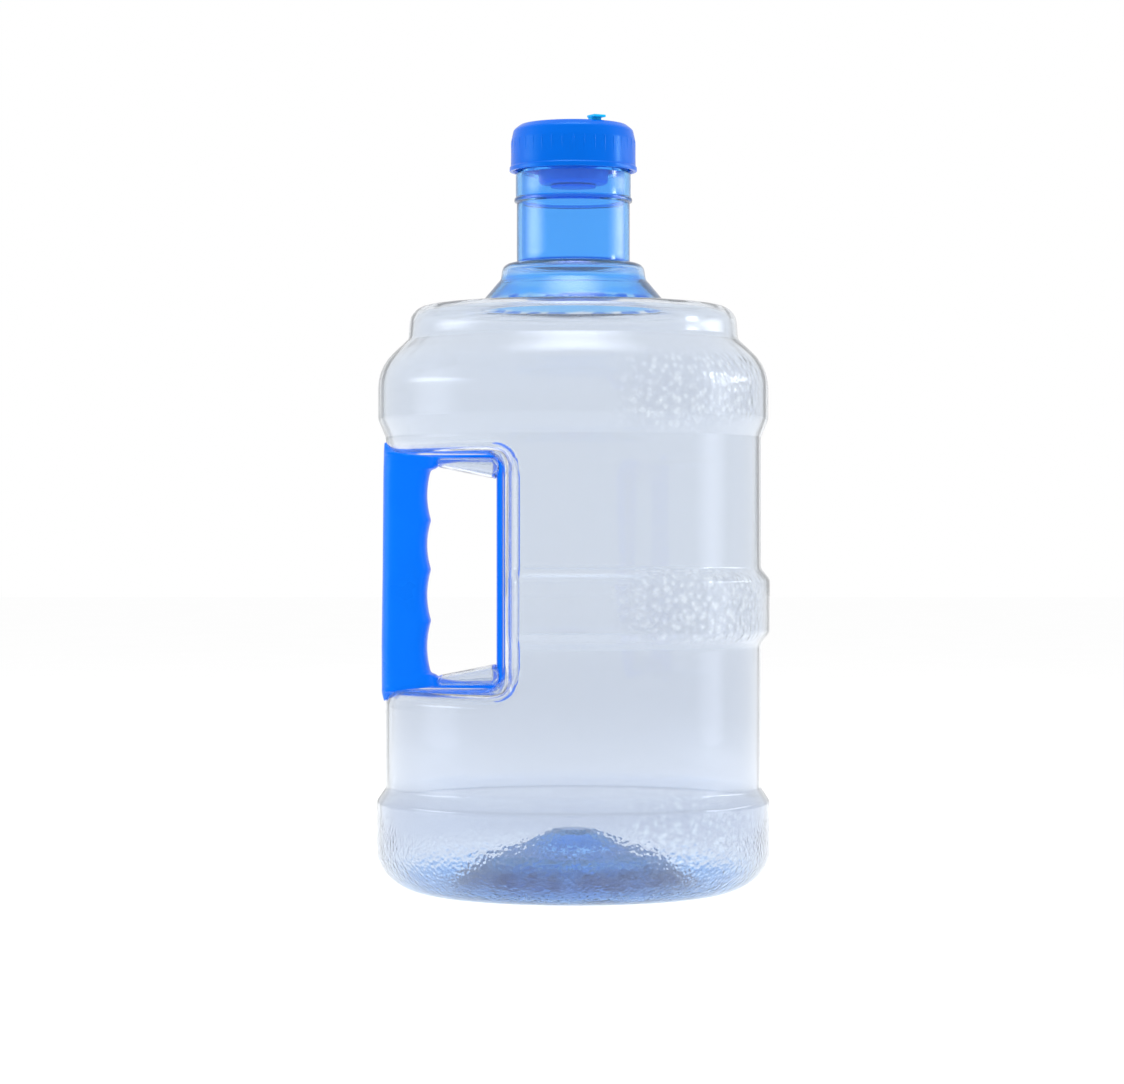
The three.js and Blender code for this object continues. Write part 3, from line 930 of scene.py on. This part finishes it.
def grip_rings(settings):
    """The grip, whose inner side has a finger scallop between each pair of cusps."""
    cusps = [106.2, 132, 157, 181, 206]
    ends = [(219.2, -91.7), (217.4, -89.6), (215.2, -86.4), (213.6, -80), (212.9, -74)]
    ends += [(212.4, -66), (206.6, -67)]
    below = [(flipped(z), x) for z, x in ends]
    inner = along_curve(sorted(ends + below))
    back = [(92.8, -92.5), (97, -93.5), (120, -93.6), (156, -93.1), (205, -92.7), (219.4, -92.3)]
    outer = along_curve(back)
    rings = []
    heights = [93 + 6.6 * k / 14 for k in range(14)] + list(np.linspace(99.6, 212.6, 130))
    heights += [212.6 + 6.6 * k / 14 for k in range(1, 15)]
    for z in heights:
        x_in = inner(z)
        for low, high in zip(cusps, cusps[1:]):
            if low <= z <= high:
                dip = math.sin(math.pi * (z - low) / (high - low))
                x_in = -69.4 - settings.scallop / MM * dip ** 0.8
        x_out = outer(z)
        half = max(0.4, (x_in - x_out) / 2)
        width = settings.width / MM / 2 * min(1, (half / 6) ** 0.5)
        middle = ((x_in + x_out) / 2, 0)
        rings.append(oval(middle, (half, width), 3.2, 56, lambda x, y, z=z: (x, y, z)))
    return rings


def arm_rings(flip):
    """The upper arm of the handle, or the lower one, which mirrors it."""
    under = [(-76, 204.6), (-71, 206), (-66, 207.2), (-58, 209.6), (-50, 211.2), (-38, 211.4)]
    low = along_curve(under)
    high = along_curve([(-76, 213.1), (-66, 213.1), (-42, 213.2), (-38, 213.6)])
    rings = []
    for x in np.linspace(-76, -37, 44):
        middle, half = (low(x) + high(x)) / 2, (high(x) - low(x)) / 2
        wide = 11 - 3.4 * eased(x, -76, -62)
        place = lambda z, y, x=x: (x, y, flipped(z) if flip else z)
        rings.append(oval((middle, 0), (half, wide), 3, 32, place))
    return rings


def swept(path, thick, wide):
    """Rings along a path of (x, z) points, thick across it and wide along Y."""
    path = np.asarray(path)
    along = np.gradient(path, axis=0)
    along /= np.linalg.norm(along, axis=1, keepdims=True)
    rings = []
    for (x, z), (dx, dz) in zip(path, along):
        half = (thick, wide)
        rings.append(oval((0, 0), half, 2.6, 24, lambda a, y: (x + a * dz, y, z - a * dx)))
    return rings


def rib_path():
    """The thin rib that anchors the handle, behind the notch's back wall."""
    top, low = 213.2, flipped(213.2)
    return spaced(rounded([(-38, low, 0), (-29.6, low, 7.5), (-29.6, top, 7.5), (-38, top, 0)], 8), 150)


def leg_path():
    """The handle's back leg, along the notch's back wall."""
    return spaced([(-35.9, flipped(209)), (-35.9, 209)], 90)


def bulb_rings(z_middle):
    """The rounded end of an arm, set across the notch's back wall."""
    rings = []
    for k in range(1, 12):
        t = math.pi * k / 12
        y = -5.6 * math.cos(t)
        swell = math.sin(t) ** 0.5
        size = (3.9 * swell, 3.1 * swell)
        rings.append(oval((-36.4, z_middle), size, 2, 28, lambda x, z, y=y: (x, y, z)))
    return rings


class JUG_OT_handle(bpy.types.Operator):
    """Makes the handle: grip with finger scallops, two arms, back leg and anchor rib"""

    bl_idname = "jug.handle"
    bl_label = "Handle"

    def execute(self, context):
        settings = context.scene.jug_handle
        blue = moulded_plastic("handle_plastic", settings.colour, 0.32)
        bulb = 212.6
        parts = [grip_rings(settings), arm_rings(False), arm_rings(True)]
        parts += [swept(leg_path(), 1.6, 7), swept(rib_path(), 1.05, 3.6)]
        parts += [bulb_rings(bulb), bulb_rings(flipped(bulb))]
        handle = moulded("handle_loop", [skin(capped(p)) for p in parts], 0.7, 4, blue)
        dress(handle, "bottle_body", "handle", 75)
        return {"FINISHED"}


# ---- Cap, valve and lid ----


def cap_profile():
    """The skirt, crown and top plate of the cap, as a closed loop of (radius, z) points."""
    crown, plate, plate_top = CAP_HIGH.z / MM - 1, 370.8, 372.2
    corners = [
        (29.5, RIM_Z, 0),
        (31.1, RIM_Z, 0.35),
        (31.1, RIM_Z + 1.9, 0.35),
        (30.55, RIM_Z + 2.6, 0.4),
        (30.2, 367, 5),
        (29.2, 371.6, 3),
        (25.8, crown, 2.6),
        (23.4, crown, 0.3),
        (23.4, plate_top, 0.2),
        (17.4, plate_top, 0.2),
        (17.4, plate, 0.2),
        (28.8, plate, 1),
        (28.8, RIM_Z + 1.2, 0.3),
        (29.5, RIM_Z, 0),
    ]
    return filled(rounded(corners, 5), 3)[:-1]


class JUG_OT_cap(bpy.types.Operator):
    """Makes the screw cap with its grip ribs, hinge ears and thread"""

    bl_idname = "jug.cap"
    bl_label = "Screw cap"

    def execute(self, context):
        settings = context.scene.jug_cap
        blue = moulded_plastic("cap_plastic", settings.colour, 0.22, 0.32)
        channel = bar((21, -7.9, 372.2), (36, 7.9, 380), 0.3, HINGE_TURN)
        plain = revolve(cap_profile(), 144, True)
        shell = fused("cap_shell_fine", plain, [channel], blue, "DIFFERENCE")
        ears = [bar((22.3, y, 371.4), (25.8, y + 2.5, 375.3), 0.5, HINGE_TURN) for y in (7.9, -10.4)]
        body = shell.data
        bpy.data.objects.remove(shell)
        cap = fused("cap_body", body, ears, blue)
        dress(cap, "cap_body", "cap_shell", 35)
        size = (0.9 * MM, settings.rib_width, 13.5 * MM)
        values = {"Count": settings.ribs, "Radius": 30.02 * MM, "Middle": 0.3605, "Size": size}
        ribs = grown_by_nodes("cap_grip_ribs", rib_tree(blue), values, blue)
        dress(ribs, "cap_body", "cap_shell", 60)
        values = {"Radius": 0.0285, "Low": 0.355}
        thread = grown_by_nodes("cap_thread", thread_tree(blue), values, blue)
        dress(thread, "cap_body", "cap_shell", 60)
        return {"FINISHED"}


class JUG_OT_valve(bpy.types.Operator):
    """Makes the gasket, the valve well that hangs in the neck and its plug"""

    bl_idname = "jug.valve"
    bl_label = "Gasket and valve"

    def execute(self, context):
        settings = context.scene.jug_cap
        blue = moulded_plastic("well_plastic", settings.well_colour, 0.35)
        white = moulded_plastic("gasket_rubber", (0.75, 0.8, 0.84), 0.6)
        start = (24.6, 369.3, 0)
        ring = [start, (27.4, 369.3, 0.3), (27.4, 370.4, 0.3), (24.6, 370.4, 0.3), start]
        gasket = link("gasket_ring", revolve(rounded(ring, 4)[:-1], 96, True), white)
        dress(gasket, "gasket_body", "cap_gasket")
        cup = [
            (9, 345, 0),
            (17, 345, 2),
            (17, 369.4, 0.3),
            (21, 369.4, 0.3),
            (21, 370.4, 0.2),
            (17, 370.4, 0.1),
            (17, 372.2, 0.3),
            (15.4, 372.2, 0.3),
            (15.4, 346.6, 1.5),
            (9, 346.6, 0.3),
            (9, 345, 0),
        ]
        well = link("valve_well_cup", revolve(filled(rounded(cup, 5), 3)[:-1], 96, True), blue)
        dress(well, "cap_body", "valve_well")
        stopper = [
            (0, 343.1, 0),
            (11, 343.1, 0.7),
            (11, 344.6, 0.3),
            (8.65, 344.6, 0.2),
            (8.65, 350, 0.5),
            (7.1, 350, 0.4),
            (7, 345.8, 0.5),
            (0, 345.8, 0),
        ]
        plug = link("valve_stopper", revolve(filled(rounded(stopper, 4), 3), 72), blue)
        dress(plug, "plug_body", "valve_plug")
        return {"FINISHED"}


class JUG_OT_lid(bpy.types.Operator):
    """Makes the flip lid in the crown of the cap, with its thumb tab and hinge barrel"""

    bl_idname = "jug.lid"
    bl_label = "Dust lid"

    def execute(self, context):
        settings = context.scene.jug_cap
        blue = moulded_plastic("lid_plastic", settings.lid_colour, 0.28)
        disc = [(0, 372.5, 0), (22.9, 372.5, 0.4), (22.9, 374.1, 0.5), (12, 374.5, 6), (0, 374.6, 0)]
        start = (13.5, 370.6, 0)
        ring = [start, (14.9, 370.6, 0.3), (14.9, 372.9, 0.1), (13.5, 372.9, 0.1), start]
        parts = [
            revolve(rounded(ring, 4)[:-1], 96, True),
            bar((20, -7, 373), (HINGE_RADIUS, 7, 374.2), 0.25, HINGE_TURN),
            rod(1.3, 15),
            rod(0.8, 20, 0.1),
            bar((-22.4, -2.8, 373.6), (-19, 2.8, 376.3), 0.4, HINGE_TURN),
            bar((-25.8, -3.3, 375.7), (-18.8, 3.3, 376.9), 0.4, HINGE_TURN),
        ]
        lid = fused("dust_lid_fine", revolve(filled(rounded(disc, 5), 3), 96), parts, blue)
        dress(lid, "lid_body", "dust_lid", 35)
        return {"FINISHED"}


# ---- Stage ----


def soft_light(name, place, size, strength, target):
    """A lamp whose brightness fades to nothing at its edges."""
    data = bpy.data.lights.new(name, "AREA")
    data.shape = "RECTANGLE"
    data.size, data.size_y = size
    data.energy = math.pi * size[0] * size[1]
    data.use_nodes = True
    tree = data.node_tree
    fades = []
    for value in split(tree, add(tree, "ShaderNodeNewGeometry").outputs["Parametric"])[:2]:
        fades.append(product(tree, window(tree, value, 0, 0.5), window(tree, value, 1, 0.5)))
    wire(tree, product(tree, *fades, strength), tree.nodes["Emission"].inputs["Strength"])
    lamp = bpy.data.objects.new(name, data)
    lamp.location = place
    lamp.rotation_mode = "QUATERNION"
    lamp.rotation_quaternion = (Vector(target) - Vector(place)).to_track_quat("-Z", "Y")
    lamp.visible_camera = False
    lamp.visible_transmission = False
    bpy.context.scene.collection.objects.link(lamp)
    return lamp


def studio_world():
    """An even white surround that is dimmer in reflections, so that the lamps' highlights show."""
    world = bpy.data.worlds.new("studio")
    world.use_nodes = True
    tree = world.node_tree
    ray = add(tree, "ShaderNodeLightPath")
    passed = maths(tree, "SUBTRACT", 1.0, ray.outputs["Is Transmission Ray"])
    mirrored = product(tree, ray.outputs["Is Glossy Ray"], passed)
    strength = maths(tree, "SUBTRACT", 1.0, product(tree, mirrored, 0.25))
    background = tree.nodes["Background"]
    background.inputs["Color"].default_value = (1, 1, 1, 1)
    wire(tree, strength, background.inputs["Strength"])
    return world


class JUG_OT_stage(bpy.types.Operator):
    """Makes the camera, the pale floor and the soft studio light"""

    bl_idname = "jug.stage"
    bl_label = "Stage"

    def execute(self, context):
        settings = context.scene.jug_stage
        camera = bpy.data.objects.new("camera", bpy.data.cameras.new("camera"))
        camera.data.lens = 110.2
        camera.data.sensor_width = 36
        camera.location = (-0.0055, -1.682, 0.1705)
        camera.rotation_euler = (math.pi / 2, 0, 0)
        context.scene.collection.objects.link(camera)
        context.scene.camera = camera
        material, tree, surface, vector = blank("floor_paper")
        tone = add(tree, "ShaderNodeHueSaturation")
        tone.inputs["Color"].default_value = (*settings.floor_colour, 1)
        paper = maths(tree, "ADD", product(tree, noise(tree, vector, 8), 0.02), 0.99)
        wire(tree, paper, tone.inputs["Value"])
        wire(tree, tone.outputs[0], surface.inputs["Base Color"])
        surface.inputs["Roughness"].default_value = 0.9
        surface.inputs["Specular IOR Level"].default_value = 0.0
        reach, level = 9000, -0.3
        corners = [(reach * x, reach * y, level) for x, y in ((1, 1), (1, -1), (-1, -1), (-1, 1))]
        floor = link("floor", skin([[(0, 0, level)], corners]), material)
        floor.data.flip_normals()
        context.scene.world = studio_world()
        middle, neck, cap = (0, 0, 0.19), (0, 0, 0.325), (0, 0, 0.36)
        lamps = (
            ("left_box", (-1.3, -0.1, 0.3), (1.2, 1.8), 0.8, middle),
            ("right_box", (1.3, 0, 0.3), (0.8, 1.6), 1, middle),
            ("top_box", (0, -0.12, 1.4), (1.3, 0.8), 3.4, middle),
            ("cap_box", (1.25, 0, 0.54), (0.34, 0.16), 8, cap),
            ("neck_left_box", (-1.25, -0.12, 0.44), (1.6, 0.2), 2.6, neck),
            ("neck_right_box", (1.19, 0.386, 0.44), (1.1, 0.2), 3, neck),
        )
        for name, place, size, share, target in lamps:
            soft_light(name, place, size, settings.light * share, target)
        context.scene.view_settings.view_transform = "Standard"
        return {"FINISHED"}


class JUG_PT_panel(bpy.types.Panel):
    """Lists the pieces of the jug and their settings"""

    bl_idname = "JUG_PT_panel"
    bl_label = "Water Jug"
    bl_space_type = "VIEW_3D"
    bl_region_type = "UI"
    bl_category = "Water Jug"

    def draw(self, context):
        for operator in OPERATORS:
            self.layout.operator(operator.bl_idname)
        for name, kind in SETTINGS.items():
            box = self.layout.box()
            for label in kind.__annotations__:
                box.prop(getattr(context.scene, name), label)


SETTINGS = {
    "jug_bottle": BottleSettings,
    "jug_handle": HandleSettings,
    "jug_cap": CapSettings,
    "jug_stage": StageSettings,
}
OPERATORS = (JUG_OT_bottle, JUG_OT_handle, JUG_OT_cap, JUG_OT_valve, JUG_OT_lid, JUG_OT_stage)


def register():
    for kind in (*SETTINGS.values(), *OPERATORS, JUG_PT_panel):
        bpy.utils.register_class(kind)
    for name, kind in SETTINGS.items():
        setattr(bpy.types.Scene, name, PointerProperty(type=kind))


def unregister():
    for name in SETTINGS:
        delattr(bpy.types.Scene, name)
    for kind in reversed((*SETTINGS.values(), *OPERATORS, JUG_PT_panel)):
        bpy.utils.unregister_class(kind)


def main():
    register()
    bpy.ops.jug.bottle()
    bpy.ops.jug.handle()
    bpy.ops.jug.cap()
    bpy.ops.jug.valve()
    bpy.ops.jug.lid()
    bpy.ops.jug.stage()


if __name__ == "__main__":
    main()
